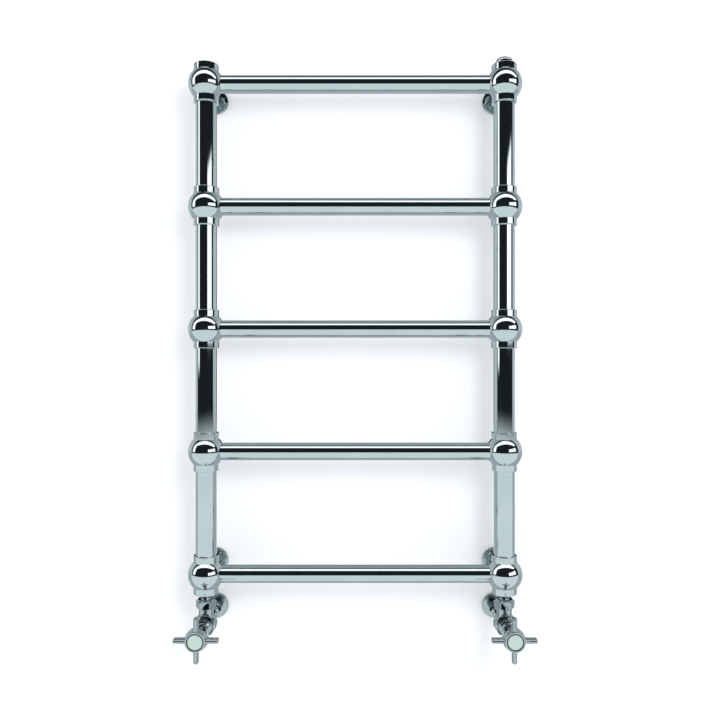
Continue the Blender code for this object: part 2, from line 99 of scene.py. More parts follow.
# Fittings on top of the columns
FITTING_END = 0.0210
CAP_TOP = 0.0362
VENT_TOP = 0.0475
VENT_R = 0.0160
VENT_TOP_R = 0.0095
VENT_SHOULDER_R = 0.0068
VENT_SHOULDER_DROP = 0.0080
VENT_BORE_R = 0.0050
VENT_NEEDLE_R = 0.0012
VENT_MOUTH_DEPTH = 0.0020
VENT_MOUTH_R = 0.0044
BLEED_R = 0.0032
BLEED_FLOOR = 0.0385
BLEED_RISE = 0.0006

# Union below the bottom balls
BUSH_TOP = 0.0235
BUSH_END = 0.0420
BUSH_SHOULDER_R = 0.0141
BUSH_END_R = 0.0098
TAIL_TOP = 0.0260
TAIL_R = 0.0080
TAIL_BORE_R = 0.0060
TAIL_NECK_R = 0.0084
TAIL_LOW_R = 0.0092
FLANGE_R = 0.0112
FLANGE_DROP = 0.0062
FLANGE_HEIGHT = 0.0030
NUT_TOP = 0.0447
NUT_END = 0.0613
NUT_FLATS = 0.0330
NUT_FACE_R = 0.0148
NUT_CHAMFER = 0.0042
LOW_CHAMFER_SHARE = 0.6

# Valve
VALVE_DROP = 0.0883
BODY_FRONT = 0.0200
BODY_BACK = -0.0560
BODY_MOUTH_R = 0.0194
ELBOW_R = 0.0200
ELBOW_ROUNDING = 0.0140
INLET_R = 0.0112
INLET_COLLAR_R = 0.0134
OUTLET_R = 0.0136
OUTLET_THREAD_R = 0.0115
CHAMBER_R = 0.0120
SEAT_H = -0.0120
WATERWAY_R = 0.0065
INLET_FLOOR = -0.0440
INLET_THREAD_R = 0.0119
BONNET_END = 0.0410
BONNET_R = 0.0098
BONNET_COLLAR_R = 0.0126
BONNET_FLANGE_R = 0.0144
BONNET_FLANGE_TOP = 0.0256
BONNET_BACK = 0.0090
SPINDLE_R = 0.0050
SPINDLE_FRONT = 0.0740
SPINDLE_THREAD_R = 0.0034
SPINDLE_THREAD_TOP = 0.0150
SPINDLE_BACK = 0.0025
PLUG_FRONT = 0.0060
PLUG_R = 0.0068
PLUG_SEAT_R = 0.0090
PIPE_R = 0.0075
PIPE_BORE_R = 0.0065
PIPE_NUT_FRONT = -0.0473
PIPE_NUT_BACK = -0.0640
PIPE_NUT_FLATS = 0.0270
PIPE_NUT_FACE_R = 0.0125
PIPE_NUT_CHAMFER = 0.0016
PIPE_NUT_FLOOR = -0.0580

# Cross handle
HANDLE_FACE = 0.0911
HANDLE_BACK = 0.0440
HANDLE_REACH = 0.0388
SKIRT_R = 0.0112
SKIRT_FLOOR = 0.0590
SQUARE = 0.0072
ARM_H = 0.0816
ARM_WIDTH = 0.0090
ARM_DEPTH = 0.0165
ARM_ROOT = 0.0156
ARM_FLARE_END = 0.0280
ARM_STEP = 0.0012
ARM_FLARE = 0.0008
ARM_EASE = 0.0024
DISC_R = 0.01275
DISC_RECESS_R = 0.01455
DISC_FLOOR = HANDLE_FACE - 0.0032
SCREW_SEAT = 0.0790
SCREW_WELL_R = 0.0048
TAPPING_R = 0.0027
SCREW_R = 0.0020
SCREW_HEAD_R = 0.0042
SCREW_HEAD_TOP = 0.0830
SCREW_END = 0.0640

# How finely pieces are divided: points round a turned piece, the turn between points on a fillet,
# the angle that counts as an edge, and how far beyond a fillet a point holds the flat
FINE = 112
MEDIUM = 80
COARSE = 48
NUT_POINTS = 168
ARC_STEP = math.radians(12)
SHARP = math.radians(32)
HOLD = 0.0003

STILL = Matrix.Identity(4)
TO_FRONT = Matrix.Rotation(math.radians(90), 4, "X")
TO_WALL = Matrix.Rotation(math.radians(-90), 4, "X")
ALONG_X = Matrix.Rotation(math.radians(90), 4, "Y")

# Studio lights and paints, in linear light
FLOOR_LIGHT = (0.83, 0.905, 0.91)
WALL_LIGHT = (0.606, 0.66, 0.683)
BLACK_LIGHT = (0.013, 0.017, 0.020)
WHITE_LIGHT = (1.65, 1.65, 1.65)
AMBIENT_LIGHT = (1.05, 1.08, 1.10)
WALL_PAINT = (0.93, 0.93, 0.94)
FLOOR_PAINT = (0.90, 0.91, 0.92)

# The dome that carries the studio's pattern, and the pattern's edges in degrees seen from its centre.
# ROOM_EDGE is how far off the front the wall begins; ROOM_SKEW and ROOM_SAG tilt that edge.
DOME_R = 8.0
ARCH_LEFT = -84.0
ARCH_RIGHT = 79.0
ARCH_TOP = 76.3
ARCH_INNER_LEFT = -65.0
ARCH_INNER_TOP = 52.5
ARCH_LEFT_END = -1.5
ARCH_RIGHT_END = 28.7
LAMP_LEFT = 21.7
LAMP_RIGHT = 70.3
LAMP_BOTTOM = 1.0
LAMP_TOP = 16.0
LAMP_SLANT = 0.04
ROOM_EDGE = 92.0
ROOM_SKEW = 3.0
ROOM_SAG = -5.0
# Past BEHIND the dome shows the floor below the horizon and black above it: the black is painted shade of
# the wall straight behind the radiator.
BEHIND = 152.0
HORIZON = -7.5
HORIZON_SOFT = 4.3
# Above WALL_FADE and below the horizon the mirrored wall is darkened by the two factors that follow:
# painted shade of the wall near the radiator.
WALL_FADE = 35.0
WALL_FADE_SOFT = 50.0
SHADED_HIGH_WALL = 0.6
SHADED_LOW_WALL = 0.75

# The sheets, and the key lamp, which aims left of the radiator so that both columns are lit alike
WALL_Y = 0.001
FLOOR_DROP = 0.225
ROOM_SIDE = 4.0
ROOM_TOP = 3.0
KEY_PLACE = (0.48, -1.36, -0.045)
KEY_AIM = Vector((-0.8, 0, 0))
KEY_SIZE = 0.66
KEY_POWER = 3.3

# The camera, level with the radiator's middle and in front of it
CAMERA_PLACE = (0.0014, -1.350, -0.495)
CAMERA_LENS = 35
CAMERA_SENSOR = 36


# Meshes


def mesh_from(bm, name):
    """A mesh with its faces turned outwards; the bmesh is used up."""
    bmesh.ops.recalc_face_normals(bm, faces=bm.faces)
    mesh = bpy.data.meshes.new(name)
    bm.to_mesh(mesh)
    bm.free()
    return mesh


def eased(corners, closed=True):
    """An outline whose (radius, height, fillet) corners are rounded, with points that hold its flats."""
    points = []
    count = len(corners)
    for i, (radius, height, fillet) in enumerate(corners):
        here = Vector((radius, height))
        at_end = not closed and i in (0, count - 1)
        if fillet == 0 or at_end:
            points.append(here)
            continue
        before = Vector(corners[i - 1][:2]) - here
        after = Vector(corners[(i + 1) % count][:2]) - here
        half = before.angle(after) / 2
        reach = min(fillet / math.tan(half), 0.45 * before.length, 0.45 * after.length)
        turn_r = reach * math.tan(half)
        inward = (before.normalized() + after.normalized()).normalized()
        centre = here + inward * (turn_r / math.sin(half))
        start = here + before.normalized() * reach
        end = here + after.normalized() * reach
        if before.length > reach * 2 + HOLD * 2:
            points.append(start + before.normalized() * HOLD)
        points.extend(arc_between(centre, start, end))
        if after.length > reach * 2 + HOLD * 2:
            points.append(end + after.normalized() * HOLD)
    return [(p[0], p[1]) for p in points]


def arc_between(centre, start, end):
    """Points on the shorter arc about centre, both ends included."""
    first = math.atan2(start.y - centre.y, start.x - centre.x)
    last = math.atan2(end.y - centre.y, end.x - centre.x)
    sweep = (last - first + math.pi) % math.tau - math.pi
    steps = max(2, math.ceil(abs(sweep) / ARC_STEP))
    radius = (start - centre).length
    turns = [first + sweep * i / steps for i in range(steps + 1)]
    return [centre + Vector((math.cos(t), math.sin(t))) * radius for t in turns]


def arc(centre_r, centre_h, radius, start, end, steps):
    """Unrounded outline points on an arc between two angles in degrees."""
    points = []
    for i in range(steps + 1):
        turn = math.radians(start + (end - start) * i / steps)
        points.append((centre_r + radius * math.cos(turn), centre_h + radius * math.sin(turn), 0))
    return points


def ring_solid(rings, closed, name):
    """A skin over rings of points, each ring joined to the next; a one-point ring is a pole."""
    bm = bmesh.new()
    made = [[bm.verts.new(p) for p in ring] for ring in rings]
    pairs = list(zip(made, made[1:]))
    if closed:
        pairs.append((made[-1], made[0]))
    for low, high in pairs:
        count = max(len(low), len(high))
        for i in range(count):
            j = (i + 1) % count
            below = [low[i % len(low)], low[j % len(low)]]
            above = [high[j % len(high)], high[i % len(high)]]
            bm.faces.new(list(dict.fromkeys(below + above)))
    return mesh_from(bm, name)


def turned(outline, segments, name):
    """A solid turned about Z. An outline that starts and ends on the axis is closed by the axis."""
    rings = []
    for radius, height in outline:
        if radius < 1e-7:
            rings.append([(0.0, 0.0, height)])
            continue
        turns = [math.tau * i / segments for i in range(segments)]
        rings.append([(radius * math.cos(t), radius * math.sin(t), height) for t in turns])
    on_axis = outline[0][0] < 1e-7 and outline[-1][0] < 1e-7
    return ring_solid(rings, not on_axis, name)


def block(size, centre, name="block"):
    """A square bar used as a cutter or joined to a turned piece."""
    bm = bmesh.new()
    bmesh.ops.create_cube(bm, size=1.0)
    bmesh.ops.scale(bm, verts=bm.verts, vec=size)
    bmesh.ops.translate(bm, verts=bm.verts, vec=centre)
    return mesh_from(bm, name)


def rod(radius, bottom, top, segments=MEDIUM):
    """A plain round bar about Z."""
    return turned([(0, top), (radius, top), (radius, bottom), (0, bottom)], segments, "rod")


def combined(mesh, steps):
    """The mesh after each (operation, mesh, matrix) Boolean step."""
    target = bpy.data.objects.new("target", mesh)
    bpy.context.scene.collection.objects.link(target)
    helpers = [target]
    for operation, tool_mesh, matrix in steps:
        tool = bpy.data.objects.new("tool", tool_mesh)
        tool.matrix_world = matrix
        bpy.context.scene.collection.objects.link(tool)
        helpers.append(tool)
        modifier = target.modifiers.new("cut", "BOOLEAN")
        modifier.operation = operation
        modifier.solver = "EXACT"
        modifier.object = tool
    bpy.context.view_layer.update()
    graph = bpy.context.evaluated_depsgraph_get()
    result = bpy.data.meshes.new_from_object(target.evaluated_get(graph))
    result.name = mesh.name
    for helper in helpers:
        bpy.data.objects.remove(helper, do_unlink=True)
    return result


# Value nodes


class Maths:
    """Small helpers that add value nodes to a node tree and return their outputs."""

    def __init__(self, tree):
        self.nodes = tree.nodes
        self.links = tree.links

    def feed(self, socket, value):
        """Sets a number on a socket, or links a node's output to it."""
        if isinstance(value, (int, float)):
            socket.default_value = value
        else:
            self.links.new(value, socket)

    def calc(self, operation, *values):
        node = self.nodes.new("ShaderNodeMath")
        node.operation = operation
        for socket, value in zip(node.inputs, values):
            self.feed(socket, value)
        return node.outputs[0]

    def above(self, value, edge, soft):
        """0 below the edge and 1 above it, rising smoothly over the soft width."""
        node = self.nodes.new("ShaderNodeMapRange")
        node.interpolation_type = "SMOOTHSTEP"
        self.feed(node.inputs["Value"], value)
        self.feed(node.inputs["From Min"], edge - soft / 2)
        self.feed(node.inputs["From Max"], edge + soft / 2)
        return node.outputs["Result"]

    def below(self, value, edge, soft):
        return self.calc("SUBTRACT", 1.0, self.above(value, edge, soft))

    def between(self, value, low, high, soft):
        return self.calc("MULTIPLY", self.above(value, low, soft), self.below(value, high, soft))

    def both(self, first, second):
        return self.calc("MULTIPLY", first, second)

    def mix(self, share, base, top):
        """The base colour at 0 and the top colour at 1."""
        node = self.nodes.new("ShaderNodeMix")
        node.data_type = "RGBA"
        self.feed(node.inputs["Factor"], share)
        for socket, colour in ((node.inputs["A"], base), (node.inputs["B"], top)):
            if isinstance(colour, tuple):
                socket.default_value = (*colour, 1)
            else:
                self.links.new(colour, socket)
        return node.outputs["Result"]

    def split(self, vector):
        node = self.nodes.new("ShaderNodeSeparateXYZ")
        self.links.new(vector, node.inputs[0])
        return node.outputs

    def place_on_object(self):
        return self.nodes.new("ShaderNodeTexCoord").outputs["Object"]

    def noise(self, scale, detail, stretch=(1, 1, 1)):
        """A noise on object coordinates, with its grain drawn out where the stretch is small."""
        mapping = self.nodes.new("ShaderNodeMapping")
        mapping.inputs["Scale"].default_value = stretch
        texture = self.nodes.new("ShaderNodeTexNoise")
        texture.inputs["Scale"].default_value = scale
        texture.inputs["Detail"].default_value = detail
        self.links.new(self.place_on_object(), mapping.inputs["Vector"])
        self.links.new(mapping.outputs["Vector"], texture.inputs["Vector"])
        return texture.outputs["Fac"]

    def spread(self, value, low, high):
        """The middle of a noise stretched over a range of values."""
        node = self.nodes.new("ShaderNodeMapRange")
        node.inputs["From Min"].default_value = 0.35
        node.inputs["From Max"].default_value = 0.65
        node.inputs["To Min"].default_value = low
        node.inputs["To Max"].default_value = high
        self.links.new(value, node.inputs["Value"])
        return node.outputs["Result"]


# Materials


def surface(name, colours, roughness, metallic, grain, bump, stretch=(1, 1, 1)):
    """A material whose colour drifts, whose gloss varies in smudges and whose surface has a fine grain."""
    material = bpy.data.materials.new(name)
    material.use_nodes = True
    maths = Maths(material.node_tree)
    shader = maths.nodes["Principled BSDF"]
    drift = maths.spread(maths.noise(22, 3), 0, 1)
    smudge = maths.spread(maths.noise(70, 4, stretch), *roughness)
    relief = maths.nodes.new("ShaderNodeBump")
    relief.inputs["Strength"].default_value = bump
    relief.inputs["Distance"].default_value = 0.0002
    maths.links.new(maths.noise(grain, 2, stretch), relief.inputs["Height"])
    maths.links.new(maths.mix(drift, *colours), shader.inputs["Base Color"])
    maths.links.new(smudge, shader.inputs["Roughness"])
    maths.links.new(relief.outputs["Normal"], shader.inputs["Normal"])
    shader.inputs["Metallic"].default_value = metallic
    return material


def paint_recess_shade(material):
    """Paints shade on the disc's foot, which lies outside its glazed face: the foot is coloured near black
    as painted shade in the gap between the disc and its recess.
    """
    maths = Maths(material.node_tree)
    shader = maths.nodes["Principled BSDF"]
    glaze = shader.inputs["Base Color"].links[0].from_socket
    x, y, _ = maths.split(maths.place_on_object())
    across = maths.calc("POWER", x, 2.0)
    upward = maths.calc("POWER", y, 2.0)
    radius = maths.calc("SQRT", maths.calc("ADD", across, upward))
    # Painted shade: beyond the glazed face the foot is coloured near black, standing for the shaded gap in
    # the recess.
    foot = maths.above(radius, DISC_R - 0.0001, 0.0002)
    recess_shade_colour = (0.03, 0.036, 0.038)
    maths.links.new(maths.mix(foot, glaze, recess_shade_colour), shader.inputs["Base Color"])


def make_materials():
    """All surfaces; the valves and roses are plated in a slightly darker chrome than the radiator."""
    pale_chrome = ((0.600, 0.672, 0.692), (0.640, 0.708, 0.728))
    deep_chrome = ((0.430, 0.495, 0.510), (0.470, 0.535, 0.550))
    bare_brass = ((0.60, 0.45, 0.20), (0.74, 0.59, 0.32))
    zinc = ((0.48, 0.49, 0.50), (0.60, 0.61, 0.62))
    pale_glaze = ((0.43, 0.53, 0.475), (0.46, 0.56, 0.505))
    along_z = (1, 1, 0.05)
    made = {
        "chrome_cast": surface("chrome_cast", pale_chrome, (0.03, 0.06), 1, 110, 0.03),
        "chrome_tube": surface("chrome_tube", pale_chrome, (0.03, 0.05), 1, 160, 0.02, along_z),
        "chrome_valve": surface("chrome_valve", deep_chrome, (0.03, 0.06), 1, 130, 0.03),
        "brass": surface("brass", bare_brass, (0.22, 0.38), 1, 500, 0.2),
        "zinc_steel": surface("zinc_steel", zinc, (0.25, 0.40), 1, 700, 0.2),
        "glazed_disc": surface("glazed_disc", pale_glaze, (0.04, 0.09), 0, 260, 0.05),
    }
    # The disc's foot gets painted shade.
    paint_recess_shade(made["glazed_disc"])
    shader = made["glazed_disc"].node_tree.nodes["Principled BSDF"]
    shader.inputs["Coat Weight"].default_value = 0.6
    shader.inputs["Coat Roughness"].default_value = 0.03
    return made


MATERIALS = make_materials()


# Placing pieces


def place(name, mesh, node, body, material, matrix):
    """One piece that stands for a CAD node, riding on its body."""
    mesh = mesh.copy()
    mesh.materials.clear()
    mesh.materials.append(MATERIALS[material])
    mesh.shade_smooth()
    mesh.set_sharp_from_angle(angle=SHARP)
    piece = bpy.data.objects.new(name, mesh)
    bpy.context.scene.collection.objects.link(piece)
    piece.matrix_world = matrix
    weighted = piece.modifiers.new("even_normals", "WEIGHTED_NORMAL")
    weighted.keep_sharp = True
    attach(piece, body)
    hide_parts(node)
    return piece


def chrome(name, mesh, node, matrix, material="chrome_cast", body="radiator"):
    """A plated piece, fixed to the radiator unless another body is named."""
    return place(name, mesh, node, body, material, matrix)


def brass(name, mesh, node, matrix, body):
    return place(name, mesh, node, body, "brass", matrix)


def middle(node):
    """The centre of a CAD node's box."""
    low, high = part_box(node)
    return (low + high) / 2


def ball_place(word, i):
    """The centre of a ball: on its column, at its rail's height."""
    column = middle(f"column_tube_{word}_1")
    return Vector((column.x, column.y, middle(f"rail_{i}").z))


def valve_place(word):
    """The point where a valve's axis crosses its column's."""
    ball = ball_place(word, RAILS)
    return Vector((ball.x, ball.y, middle(f"handle_disc_{word}").z))


# Columns and rails


def ball_joint(side, with_stay):
    """A cast ball between two collars, bored for its column and rail, and perhaps with a stay's seat."""
    bore_r = COLUMN_R + GAP
    meet = math.degrees(math.acos(COLLAR_R / BALL_R))
    outline = eased(
        [
            (bore_r, -COLLAR_END, 0.0003),
            (bore_r, COLLAR_END, 0.0003),
            (COLLAR_R, COLLAR_END, 0.0012),
            *arc(0, 0, BALL_R, meet, -meet, 44),
            (COLLAR_R, -COLLAR_END, 0.0012),
        ]
    )
    mesh = turned(outline, FINE, "ball_joint")
    socket = rod(RAIL_R + GAP, SOCKET_FLOOR, PAST_BALL)
    cuts = [("DIFFERENCE", socket, Matrix.Rotation(math.radians(-90 * side), 4, "Y"))]
    if with_stay:
        seat_outline = [
            (0, PAST_BALL),
            (STAY_SEAT_R, PAST_BALL),
            (STAY_SEAT_R, STAY_FACE),
            (STAY_HOLE_R, STAY_FACE),
            (STAY_HOLE_R, STAY_HOLE_FLOOR),
            (0, STAY_HOLE_FLOOR),
        ]
        cuts.append(("DIFFERENCE", turned(seat_outline, MEDIUM, "seat"), TO_WALL))
    return combined(mesh, cuts)


def tube(outer, inner, length):
    """A drawn tube about Z with its ends just broken."""
    half = length / 2
    ends = 0.0004
    corners = [(inner, half, ends), (outer, half, ends), (outer, -half, ends), (inner, -half, ends)]
    return turned(eased(corners), FINE, "tube")


def build_columns():
    low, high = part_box("column_tube_left_1")
    column = tube(COLUMN_R, COLUMN_BORE_R, high.z - low.z)
    for side, word in SIDES:
        plain = ball_joint(side, False)
        with_stay = ball_joint(side, True)
        for i in range(1, RAILS + 1):
            mesh = with_stay if i in (1, RAILS) else plain
            ball = Matrix.Translation(ball_place(word, i))
            chrome(f"chrome_ball_{word}_{i}", mesh, f"ball_joint_{word}_{i}", ball)
        for i in range(1, RAILS):
            node = f"column_tube_{word}_{i}"
            centre = Matrix.Translation(middle(node))
            chrome(f"chrome_column_{word}_{i}", column, node, centre, "chrome_tube")


def build_rails():
    low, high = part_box("rail_1")
    mesh = tube(RAIL_R, RAIL_BORE_R, high.x - low.x)
    for i in range(1, RAILS + 1):
        node = f"rail_{i}"
        turn = Matrix.Translation(middle(node)) @ ALONG_X
        chrome(f"chrome_rail_{i}", mesh, node, turn, "chrome_tube")


# Wall stays and roses


def wall_stay():
    """A trumpet from its foot in the ball to its spigot in the rose, along Z."""
    shoulder = STAY_FACE + GAP
    depth = -middle("rail_1").y
    end = depth - ROSE_HEIGHT - GAP
    start = shoulder + STAY_FOOT_LENGTH
    tip = depth - ROSE_FLOOR - GAP
    spigot_r = STAY_HOLE_R - GAP
    steps = 24
    taper = []
    for i in range(steps + 1):
        along = i / steps
        radius = STAY_NECK_R + (STAY_FOOT_R - STAY_NECK_R) * (1 - along) ** STAY_FLARE
        taper.append((radius, start + (end - start) * along, 0))
    corners = [
        (0, STAY_HOLE_FLOOR + GAP, 0),
        (spigot_r, STAY_HOLE_FLOOR + GAP, 0.0004),
        (spigot_r, shoulder, 0),
        (STAY_FOOT_R, shoulder, 0.0004),
        *taper,
        (STAY_SPIGOT_R, end, 0),
        (STAY_SPIGOT_R, tip, 0.0004),
        (0, tip, 0),
    ]
    return turned(eased(corners, False), MEDIUM, "wall_stay")


def rose(rim_r, hole_r, hole_floor):
    """A nearly flat wall rose about Z, its back at zero; a floor above zero makes its hole blind."""
    edge = arc(rim_r - ROSE_EDGE, ROSE_RIM, ROSE_EDGE, 0, 82, 14)
    rim_top_r, rim_top_h, _ = edge[-1]
    steps = 10
    crown = []
    for i in range(1, steps):
        inward = i / steps
        radius = rim_top_r + (hole_r - rim_top_r) * inward
        height = ROSE_HEIGHT - (ROSE_HEIGHT - rim_top_h) * (1 - inward) ** 2
        crown.append((radius, height, 0))
    outside = [(rim_r, 0, 0.0002), *edge, *crown, (hole_r, ROSE_HEIGHT, 0.0003)]
    if hole_floor > 0:
        corners = [(0, 0, 0), *outside, (hole_r, hole_floor, 0), (0, hole_floor, 0)]
        return turned(eased(corners, False), FINE, "rose")
    return turned(eased([*outside, (hole_r, 0, 0.0002)]), FINE, "rose")


def build_wall_stays():
    stay = wall_stay()
    wall_rose = rose(ROSE_R, STAY_SPIGOT_R + GAP, ROSE_FLOOR)
    for _, word in SIDES:
        for i, level in ((1, "upper"), (RAILS, "lower")):
            ball = ball_place(word, i)
            on_wall = Vector((ball.x, 0, ball.z))
            end = f"{level}_{word}"
            chrome(f"chrome_stay_{end}", stay, f"wall_stay_{end}", Matrix.Translation(ball) @ TO_WALL)
            turn = Matrix.Translation(on_wall) @ TO_FRONT
            chrome(f"chrome_rose_{end}", wall_rose, f"wall_rose_{end}", turn, "chrome_valve")


# Top fittings


def top_cap():
    """A low crowned plug that closes the left column."""
    corners = [
        (0, CAP_TOP, 0),
        (0.0060, CAP_TOP - 0.00005, 0),
        (0.0110, CAP_TOP - 0.0002, 0),
        (0.0155, CAP_TOP - 0.0006, 0.004),
        (COLUMN_R - 0.0008, COLLAR_END + 0.0001, 0.0006),
        (COLUMN_R, COLLAR_END - 0.0010, 0.0003),
        (COLUMN_R, FITTING_END, 0.0004),
        (0, FITTING_END, 0),
    ]
    return turned(eased(corners, False), FINE, "top_cap")


def air_vent():
    """The domed vent on the right column, bored for its bleed screw."""
    shoulder = COLLAR_END + GAP
    shoulder_h = VENT_TOP - VENT_SHOULDER_DROP
    mouth_floor = VENT_TOP - VENT_MOUTH_DEPTH
    corners = [
        (VENT_MOUTH_R, VENT_TOP, 0.0003),
        (VENT_TOP_R, VENT_TOP, 0.0006),
        *arc(VENT_R - VENT_SHOULDER_R, shoulder_h, VENT_SHOULDER_R, 62, 0, 14),
        (VENT_R, shoulder, 0.0003),
        (COLUMN_R, shoulder, 0.0002),
        (COLUMN_R, FITTING_END, 0.0004),
        (VENT_BORE_R, FITTING_END, 0),
        (VENT_BORE_R, BLEED_FLOOR - 0.0040, 0),
        (VENT_NEEDLE_R, BLEED_FLOOR - 0.0020, 0),
        (VENT_NEEDLE_R, BLEED_FLOOR, 0),
        (BLEED_R + GAP, BLEED_FLOOR, 0),
        (BLEED_R + GAP, mouth_floor, 0),
        (VENT_MOUTH_R, mouth_floor, 0),
    ]
    return turned(eased(corners), FINE, "air_vent")


def bleed_screw():
    """The slotted needle screw in the vent."""
    top = VENT_TOP + BLEED_RISE
    corners = [
        (0, top, 0),
        (BLEED_R, top, 0.0004),
        (BLEED_R, BLEED_FLOOR + 0.0022, 0.0003),
        (0.0009, BLEED_FLOOR + GAP, 0.0002),
        (0, BLEED_FLOOR + GAP, 0),
    ]
    screw = turned(eased(corners, False), COARSE, "bleed_screw")
    slot = block((0.010, 0.0011, 0.0040), (0, 0, top))
    return combined(screw, [("DIFFERENCE", slot, STILL)])


def build_top_fittings():
    left = Matrix.Translation(ball_place("left", 1))
    right = Matrix.Translation(ball_place("right", 1))
    chrome("chrome_cap", top_cap(), "top_cap_left", left)
    chrome("chrome_vent", air_vent(), "air_vent_body", right)
    screw = bleed_screw()
    place("zinc_bleed_screw", screw, "bleed_screw", "bleed_key_screw", "zinc_steel", right)


# Nuts


def soft_min(a, b, width):
    """The smaller of two values, rounded over where they meet."""
    share = max(width - abs(a - b), 0) / width
    return min(a, b) - share * share * width / 4


def hexagon_radius(turn, flats):
    """A hexagon's radius at an angle, a flat towards +Y, its corners eased."""
    easing = 0.03
    sixth = math.radians(60)
    off = (turn - math.radians(90) + sixth / 2) % sixth - sixth / 2
    nearest = math.cos(off)
    next_flat = math.cos(sixth - abs(off))
    return flats / 2 / -soft_min(-nearest, -next_flat, easing)


def nut(flats, bottom, top, face_r, chamfer, bore):
    """A hexagon nut about Z: each end is turned to a cone that runs out on the flats in curves.

    The chamfer is the top cone's height; the bottom cone is lower. Rows of points cover each cone
    and a margin beyond it.
    """
    corner = flats / 2 / math.cos(math.radians(30))
    low_chamfer = chamfer * LOW_CHAMFER_SHARE
    margin = 1.15
    easing = 0.0005
    turns = [math.tau * i / NUT_POINTS for i in range(NUT_POINTS)]

    def ring(height):
        rise = min(top - height, (height - bottom) / LOW_CHAMFER_SHARE)
        cone = face_r + (corner - face_r) * rise / chamfer
        points = []
        for turn in turns:
            radius = soft_min(hexagon_radius(turn, flats), cone, easing)
            points.append((radius * math.cos(turn), radius * math.sin(turn), height))
        return points

    rows = 16
    upper = [top - chamfer * margin * i / rows for i in range(rows + 1)]
    lower = [bottom + low_chamfer * margin * (rows - i) / rows for i in range(rows + 1)]
    middle_rows = [upper[-1] + (lower[0] - upper[-1]) * share for share in (0.1, 0.5, 0.9)]
    heights = upper + middle_rows + lower
    rings = [ring(height) for height in heights]
    for radius, height in eased(bore, False):
        rings.append([(radius * math.cos(t), radius * math.sin(t), height) for t in turns])
    return ring_solid(rings, True, "nut")


def union_nut():
    flange = -NUT_TOP - FLANGE_DROP + GAP
    thread_r = OUTLET_THREAD_R + GAP
    lead_in = 0.0006
    bore = [
        (thread_r + lead_in, -NUT_END, 0),
        (thread_r, -NUT_END + lead_in, 0),
        (thread_r, flange, 0),
        (TAIL_LOW_R + GAP, flange, 0),
        (TAIL_LOW_R + GAP, -NUT_TOP, 0),
    ]
    return nut(NUT_FLATS, -NUT_END, -NUT_TOP, NUT_FACE_R, NUT_CHAMFER, bore)


def pipe_nut():
    thread_r = INLET_THREAD_R + GAP
    bore = [
        (PIPE_R + GAP, PIPE_NUT_BACK, 0),
        (PIPE_R + GAP, PIPE_NUT_FLOOR, 0),
        (thread_r, PIPE_NUT_FLOOR, 0),
        (thread_r, PIPE_NUT_FRONT, 0),
    ]
    return nut(PIPE_NUT_FLATS, PIPE_NUT_BACK, PIPE_NUT_FRONT, PIPE_NUT_FACE_R, PIPE_NUT_CHAMFER, bore)


# Union and valve


def reducing_bush():
    """The plug that closes the bottom collar round the valve's tail."""
    inner = TAIL_R + GAP
    corners = [
        (inner, -BUSH_TOP, 0.0002),
        (COLUMN_R, -BUSH_TOP, 0.0004),
        (COLUMN_R, -COLLAR_END + 0.0002, 0.0002),
        (BUSH_SHOULDER_R, -COLLAR_END - 0.0010, 0.0006),
        (BUSH_END_R, -BUSH_END, 0.0004),
        (inner, -BUSH_END, 0.0002),
    ]
    return turned(eased(corners), FINE, "reducing_bush")


def valve_tail():
    """The short tube in the bush, with the flange that the union nut pulls on to the valve."""
    flange_top = -NUT_TOP - FLANGE_DROP
    flange_end = flange_top - FLANGE_HEIGHT
    neck = -BUSH_END - 0.0001
    corners = [
        (TAIL_BORE_R, -TAIL_TOP, 0.0002),
        (TAIL_R, -TAIL_TOP, 0.0004),
        (TAIL_R, neck, 0),
        (TAIL_NECK_R, neck, 0),
        (TAIL_LOW_R, -NUT_TOP, 0),
        (TAIL_LOW_R, flange_top, 0.0002),
        (FLANGE_R, flange_top, 0.0002),
        (FLANGE_R, flange_end, 0.0002),
        (TAIL_BORE_R, flange_end, 0.0002),
    ]
    return turned(eased(corners), MEDIUM, "valve_tail")


def valve_run():
    """The valve body's own round bar, from the bonnet's seat at the front to the inlet's thread."""
    corners = [
        (0, BODY_FRONT, 0),
        (BODY_MOUTH_R, BODY_FRONT, 0.0006),
        (BODY_MOUTH_R, BODY_FRONT - 0.0036, 0.0006),
        (0.0170, BODY_FRONT - 0.0060, 0.0012),
        *arc(ELBOW_R - ELBOW_ROUNDING, 0, ELBOW_ROUNDING, 50, -62, 28),
        (0.0116, -0.0160, 0.0040),
        (INLET_R, -0.0420, 0.0010),
        (INLET_COLLAR_R, -0.0440, 0.0006),
        (INLET_COLLAR_R, -0.0465, 0.0004),
        (INLET_THREAD_R, -0.0470, 0.0002),
        (INLET_THREAD_R, BODY_BACK, 0.0003),
        (0, BODY_BACK, 0),
    ]
    return turned(eased(corners, False), FINE, "valve_body")


def valve_bore():
    """The hollow along the bar: the bonnet's chamber, the seat, the waterway and the pipe's socket."""
    front = BODY_FRONT + 0.002
    back = BODY_BACK - 0.002
    corners = [
        (0, front),
        (CHAMBER_R, front),
        (CHAMBER_R, SEAT_H),
        (WATERWAY_R, SEAT_H),
        (WATERWAY_R, INLET_FLOOR),
        (PIPE_R + GAP, INLET_FLOOR),
        (PIPE_R + GAP, back),
        (0, back),
    ]
    return turned(corners, COARSE, "chamber")


